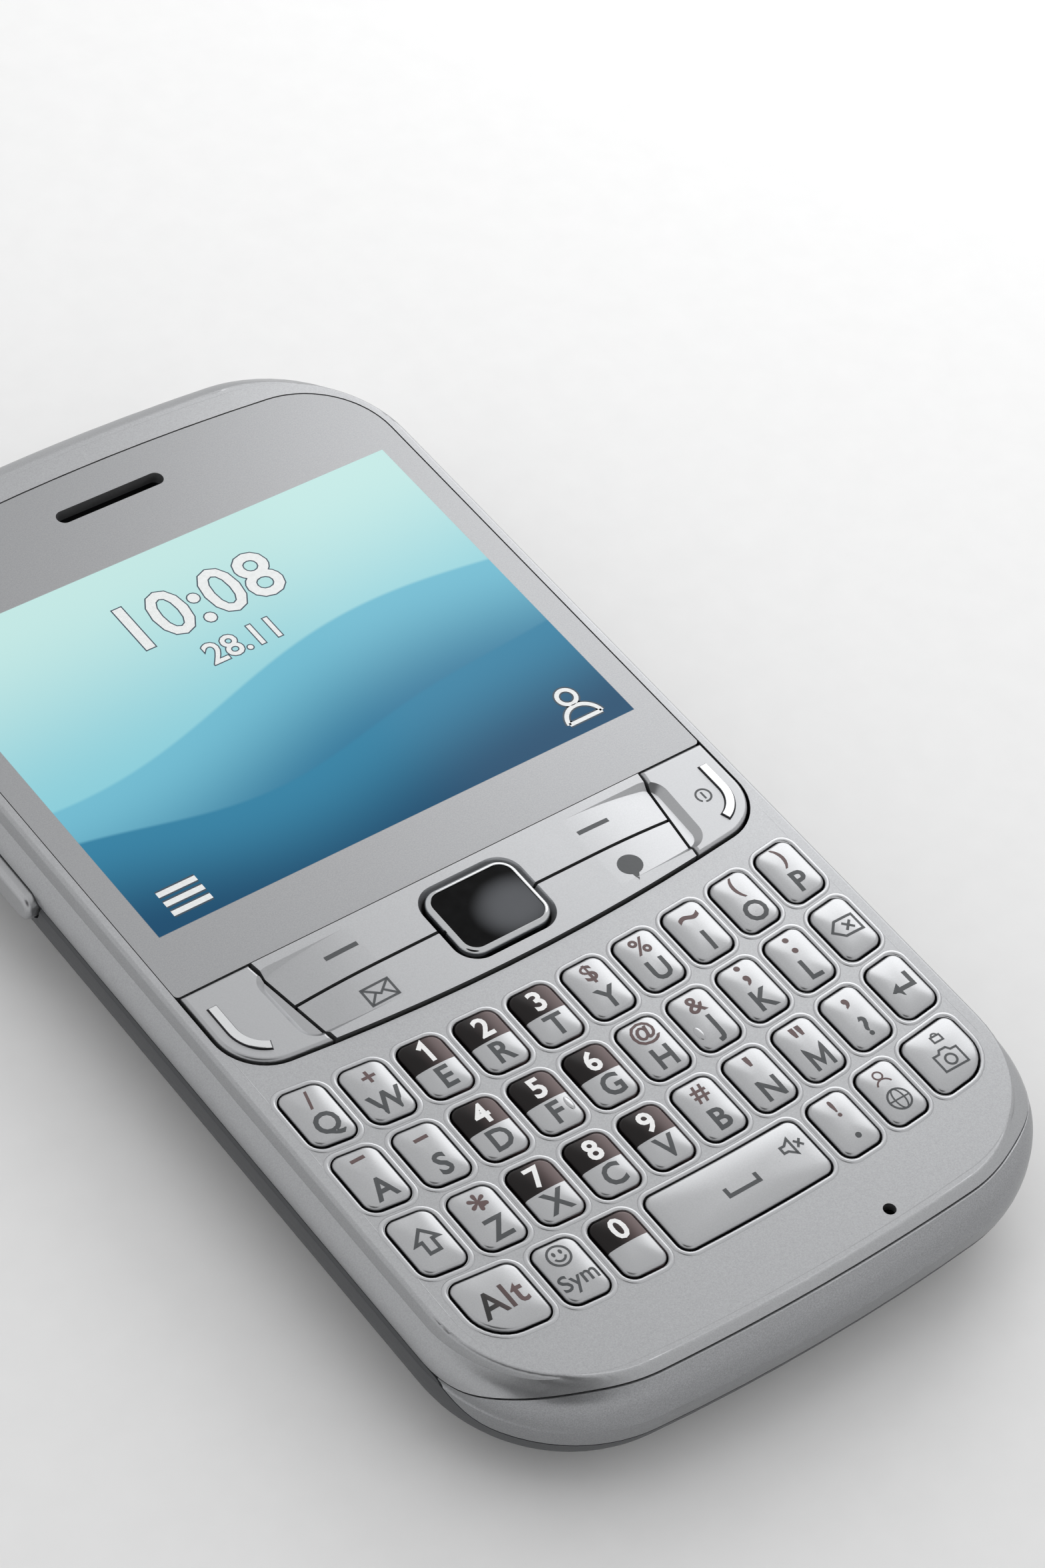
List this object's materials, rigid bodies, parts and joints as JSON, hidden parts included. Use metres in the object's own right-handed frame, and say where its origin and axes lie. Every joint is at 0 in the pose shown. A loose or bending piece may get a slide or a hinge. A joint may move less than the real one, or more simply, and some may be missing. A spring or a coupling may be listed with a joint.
{
  "type": "mobile phone",
  "caption": "Slim bar phone with a silver front, letter keyboard, trackpad strip and wide screen; the keys press, the side key rocks, the back cover and battery lift out.",
  "frame": {"origin": "middle of the flat back face", "axes": "+X across the phone to the right of the keyboard, +Y towards the earpiece end, +Z out of the screen"},
  "size_m": [0.0594, 0.1102, 0.012],
  "materials": {
    "front_silver": "silver metallic paint with a fine grain",
    "bumper_silver": "silver metallic paint, satin",
    "window": "clear hard-coated window with a silver border",
    "cover": "dark grey soft-touch",
    "battery": "wrapped cell",
    "lcd": "display panel",
    "board": "green circuit board",
    "dome_sheet": "film with metal domes",
    "black_module": "black",
    "steel": "plain",
    "socket_plastic": "black",
    "strip_silver": "silver metallic paint, gloss",
    "chrome_trim": "chrome plated",
    "black_gloss": "black gloss",
    "key_silver": "silver metallic paint, gloss",
    "key_digit": "silver with a dark upper half, gloss"
  },
  "bodies": {
    "housing": {"front_housing": "front_silver", "rear_housing": "bumper_silver", "display_window": "window", "lcd_module": "lcd", "main_board": "board", "keypad_dome_sheet": "dome_sheet", "earpiece": "black_module", "loudspeaker": "black_module", "camera_module": "black_module", "vibration_motor": "steel", "sim_holder": "steel", "headphone_jack": "socket_plastic", "usb_connector": "steel", "housing_screws": "steel"},
    "key_q": {"key_q": "key_silver"},
    "key_w": {"key_w": "key_silver"},
    "key_e": {"key_e": "key_digit"},
    "key_r": {"key_r": "key_digit"},
    "key_t": {"key_t": "key_digit"},
    "key_y": {"key_y": "key_silver"},
    "key_u": {"key_u": "key_silver"},
    "key_i": {"key_i": "key_silver"},
    "key_o": {"key_o": "key_silver"},
    "key_p": {"key_p": "key_silver"},
    "key_a": {"key_a": "key_silver"},
    "key_s": {"key_s": "key_silver"},
    "key_d": {"key_d": "key_digit"},
    "key_f": {"key_f": "key_digit"},
    "key_g": {"key_g": "key_digit"},
    "key_h": {"key_h": "key_silver"},
    "key_j": {"key_j": "key_silver"},
    "key_k": {"key_k": "key_silver"},
    "key_l": {"key_l": "key_silver"},
    "key_backspace": {"key_backspace": "key_silver"},
    "key_shift": {"key_shift": "key_silver"},
    "key_z": {"key_z": "key_silver"},
    "key_x": {"key_x": "key_digit"},
    "key_c": {"key_c": "key_digit"},
    "key_v": {"key_v": "key_digit"},
    "key_b": {"key_b": "key_silver"},
    "key_n": {"key_n": "key_silver"},
    "key_m": {"key_m": "key_silver"},
    "key_question": {"key_question": "key_silver"},
    "key_enter": {"key_enter": "key_silver"},
    "key_alt": {"key_alt": "key_silver"},
    "key_symbol": {"key_symbol": "key_silver"},
    "key_zero": {"key_zero": "key_digit"},
    "key_space": {"key_space": "key_silver"},
    "key_period": {"key_period": "key_silver"},
    "key_globe": {"key_globe": "key_silver"},
    "key_camera": {"key_camera": "key_silver"},
    "call_key": {"call_key": "strip_silver"},
    "end_key": {"end_key": "strip_silver"},
    "trackpad": {"trackpad_bezel": "chrome_trim", "trackpad_window": "black_gloss"},
    "soft_key_bar": {"soft_key_bar": "strip_silver"},
    "shortcut_key_bar": {"shortcut_key_bar": "strip_silver"},
    "volume_key": {"volume_key": "key_silver"},
    "battery_cover": {"battery_cover": "cover"},
    "battery": {"battery": "battery"}
  },
  "joints": [
    {"name": "battery_cover_lift", "type": "slide", "parent": "housing", "child": "battery_cover", "axis": [0, 0, -1], "range_m": [0, 0.024]},
    {"name": "battery_lift", "type": "slide", "parent": "housing", "child": "battery", "axis": [0, 0, -1], "range_m": [0, 0.012]},
    {"name": "volume_key_rock", "type": "hinge", "parent": "housing", "child": "volume_key", "pos_m": [-0.0274, 0.0203, 0.0073], "axis": [0, 0, 1], "range_deg": [-0.8, 0.8], "stiffness_Nm_per_rad": 0.8},
    {"name": "soft_key_bar_rock", "type": "hinge", "parent": "housing", "child": "soft_key_bar", "pos_m": [0, -0.00705, 0.00935], "axis": [0, 1, 0], "range_deg": [-0.8, 0.8], "stiffness_Nm_per_rad": 1.4},
    {"name": "shortcut_key_bar_rock", "type": "hinge", "parent": "housing", "child": "shortcut_key_bar", "pos_m": [0, -0.01265, 0.00935], "axis": [0, 1, 0], "range_deg": [-0.8, 0.8], "stiffness_Nm_per_rad": 1.4},
    {"name": "trackpad_press", "type": "slide", "parent": "housing", "child": "trackpad", "axis": [0, 0, -1], "range_m": [0, 0.00025], "stiffness_N_per_m": 4000},
    {"name": "call_key_press", "type": "slide", "parent": "housing", "child": "call_key", "axis": [0, 0, -1], "range_m": [0, 0.00025], "stiffness_N_per_m": 4000},
    {"name": "end_key_press", "type": "slide", "parent": "housing", "child": "end_key", "axis": [0, 0, -1], "range_m": [0, 0.00025], "stiffness_N_per_m": 4000},
    {"name": "key_q_press", "type": "slide", "parent": "housing", "child": "key_q", "axis": [0, 0, -1], "range_m": [0, 0.00025], "stiffness_N_per_m": 4000},
    {"name": "key_w_press", "type": "slide", "parent": "housing", "child": "key_w", "axis": [0, 0, -1], "range_m": [0, 0.00025], "stiffness_N_per_m": 4000},
    {"name": "key_e_press", "type": "slide", "parent": "housing", "child": "key_e", "axis": [0, 0, -1], "range_m": [0, 0.00025], "stiffness_N_per_m": 4000},
    {"name": "key_r_press", "type": "slide", "parent": "housing", "child": "key_r", "axis": [0, 0, -1], "range_m": [0, 0.00025], "stiffness_N_per_m": 4000},
    {"name": "key_t_press", "type": "slide", "parent": "housing", "child": "key_t", "axis": [0, 0, -1], "range_m": [0, 0.00025], "stiffness_N_per_m": 4000},
    {"name": "key_y_press", "type": "slide", "parent": "housing", "child": "key_y", "axis": [0, 0, -1], "range_m": [0, 0.00025], "stiffness_N_per_m": 4000},
    {"name": "key_u_press", "type": "slide", "parent": "housing", "child": "key_u", "axis": [0, 0, -1], "range_m": [0, 0.00025], "stiffness_N_per_m": 4000},
    {"name": "key_i_press", "type": "slide", "parent": "housing", "child": "key_i", "axis": [0, 0, -1], "range_m": [0, 0.00025], "stiffness_N_per_m": 4000},
    {"name": "key_o_press", "type": "slide", "parent": "housing", "child": "key_o", "axis": [0, 0, -1], "range_m": [0, 0.00025], "stiffness_N_per_m": 4000},
    {"name": "key_p_press", "type": "slide", "parent": "housing", "child": "key_p", "axis": [0, 0, -1], "range_m": [0, 0.00025], "stiffness_N_per_m": 4000},
    {"name": "key_a_press", "type": "slide", "parent": "housing", "child": "key_a", "axis": [0, 0, -1], "range_m": [0, 0.00025], "stiffness_N_per_m": 4000},
    {"name": "key_s_press", "type": "slide", "parent": "housing", "child": "key_s", "axis": [0, 0, -1], "range_m": [0, 0.00025], "stiffness_N_per_m": 4000},
    {"name": "key_d_press", "type": "slide", "parent": "housing", "child": "key_d", "axis": [0, 0, -1], "range_m": [0, 0.00025], "stiffness_N_per_m": 4000},
    {"name": "key_f_press", "type": "slide", "parent": "housing", "child": "key_f", "axis": [0, 0, -1], "range_m": [0, 0.00025], "stiffness_N_per_m": 4000},
    {"name": "key_g_press", "type": "slide", "parent": "housing", "child": "key_g", "axis": [0, 0, -1], "range_m": [0, 0.00025], "stiffness_N_per_m": 4000},
    {"name": "key_h_press", "type": "slide", "parent": "housing", "child": "key_h", "axis": [0, 0, -1], "range_m": [0, 0.00025], "stiffness_N_per_m": 4000},
    {"name": "key_j_press", "type": "slide", "parent": "housing", "child": "key_j", "axis": [0, 0, -1], "range_m": [0, 0.00025], "stiffness_N_per_m": 4000},
    {"name": "key_k_press", "type": "slide", "parent": "housing", "child": "key_k", "axis": [0, 0, -1], "range_m": [0, 0.00025], "stiffness_N_per_m": 4000},
    {"name": "key_l_press", "type": "slide", "parent": "housing", "child": "key_l", "axis": [0, 0, -1], "range_m": [0, 0.00025], "stiffness_N_per_m": 4000},
    {"name": "key_backspace_press", "type": "slide", "parent": "housing", "child": "key_backspace", "axis": [0, 0, -1], "range_m": [0, 0.00025], "stiffness_N_per_m": 4000},
    {"name": "key_shift_press", "type": "slide", "parent": "housing", "child": "key_shift", "axis": [0, 0, -1], "range_m": [0, 0.00025], "stiffness_N_per_m": 4000},
    {"name": "key_z_press", "type": "slide", "parent": "housing", "child": "key_z", "axis": [0, 0, -1], "range_m": [0, 0.00025], "stiffness_N_per_m": 4000},
    {"name": "key_x_press", "type": "slide", "parent": "housing", "child": "key_x", "axis": [0, 0, -1], "range_m": [0, 0.00025], "stiffness_N_per_m": 4000},
    {"name": "key_c_press", "type": "slide", "parent": "housing", "child": "key_c", "axis": [0, 0, -1], "range_m": [0, 0.00025], "stiffness_N_per_m": 4000},
    {"name": "key_v_press", "type": "slide", "parent": "housing", "child": "key_v", "axis": [0, 0, -1], "range_m": [0, 0.00025], "stiffness_N_per_m": 4000},
    {"name": "key_b_press", "type": "slide", "parent": "housing", "child": "key_b", "axis": [0, 0, -1], "range_m": [0, 0.00025], "stiffness_N_per_m": 4000},
    {"name": "key_n_press", "type": "slide", "parent": "housing", "child": "key_n", "axis": [0, 0, -1], "range_m": [0, 0.00025], "stiffness_N_per_m": 4000},
    {"name": "key_m_press", "type": "slide", "parent": "housing", "child": "key_m", "axis": [0, 0, -1], "range_m": [0, 0.00025], "stiffness_N_per_m": 4000},
    {"name": "key_question_press", "type": "slide", "parent": "housing", "child": "key_question", "axis": [0, 0, -1], "range_m": [0, 0.00025], "stiffness_N_per_m": 4000},
    {"name": "key_enter_press", "type": "slide", "parent": "housing", "child": "key_enter", "axis": [0, 0, -1], "range_m": [0, 0.00025], "stiffness_N_per_m": 4000},
    {"name": "key_alt_press", "type": "slide", "parent": "housing", "child": "key_alt", "axis": [0, 0, -1], "range_m": [0, 0.00025], "stiffness_N_per_m": 4000},
    {"name": "key_symbol_press", "type": "slide", "parent": "housing", "child": "key_symbol", "axis": [0, 0, -1], "range_m": [0, 0.00025], "stiffness_N_per_m": 4000},
    {"name": "key_zero_press", "type": "slide", "parent": "housing", "child": "key_zero", "axis": [0, 0, -1], "range_m": [0, 0.00025], "stiffness_N_per_m": 4000},
    {"name": "key_space_press", "type": "slide", "parent": "housing", "child": "key_space", "axis": [0, 0, -1], "range_m": [0, 0.00025], "stiffness_N_per_m": 4000},
    {"name": "key_period_press", "type": "slide", "parent": "housing", "child": "key_period", "axis": [0, 0, -1], "range_m": [0, 0.00025], "stiffness_N_per_m": 4000},
    {"name": "key_globe_press", "type": "slide", "parent": "housing", "child": "key_globe", "axis": [0, 0, -1], "range_m": [0, 0.00025], "stiffness_N_per_m": 4000},
    {"name": "key_camera_press", "type": "slide", "parent": "housing", "child": "key_camera", "axis": [0, 0, -1], "range_m": [0, 0.00025], "stiffness_N_per_m": 4000}
  ],
  "couplings": [
    {"joint": "battery_lift", "follows": "battery_cover_lift", "ratio": 0.5}
  ]
}
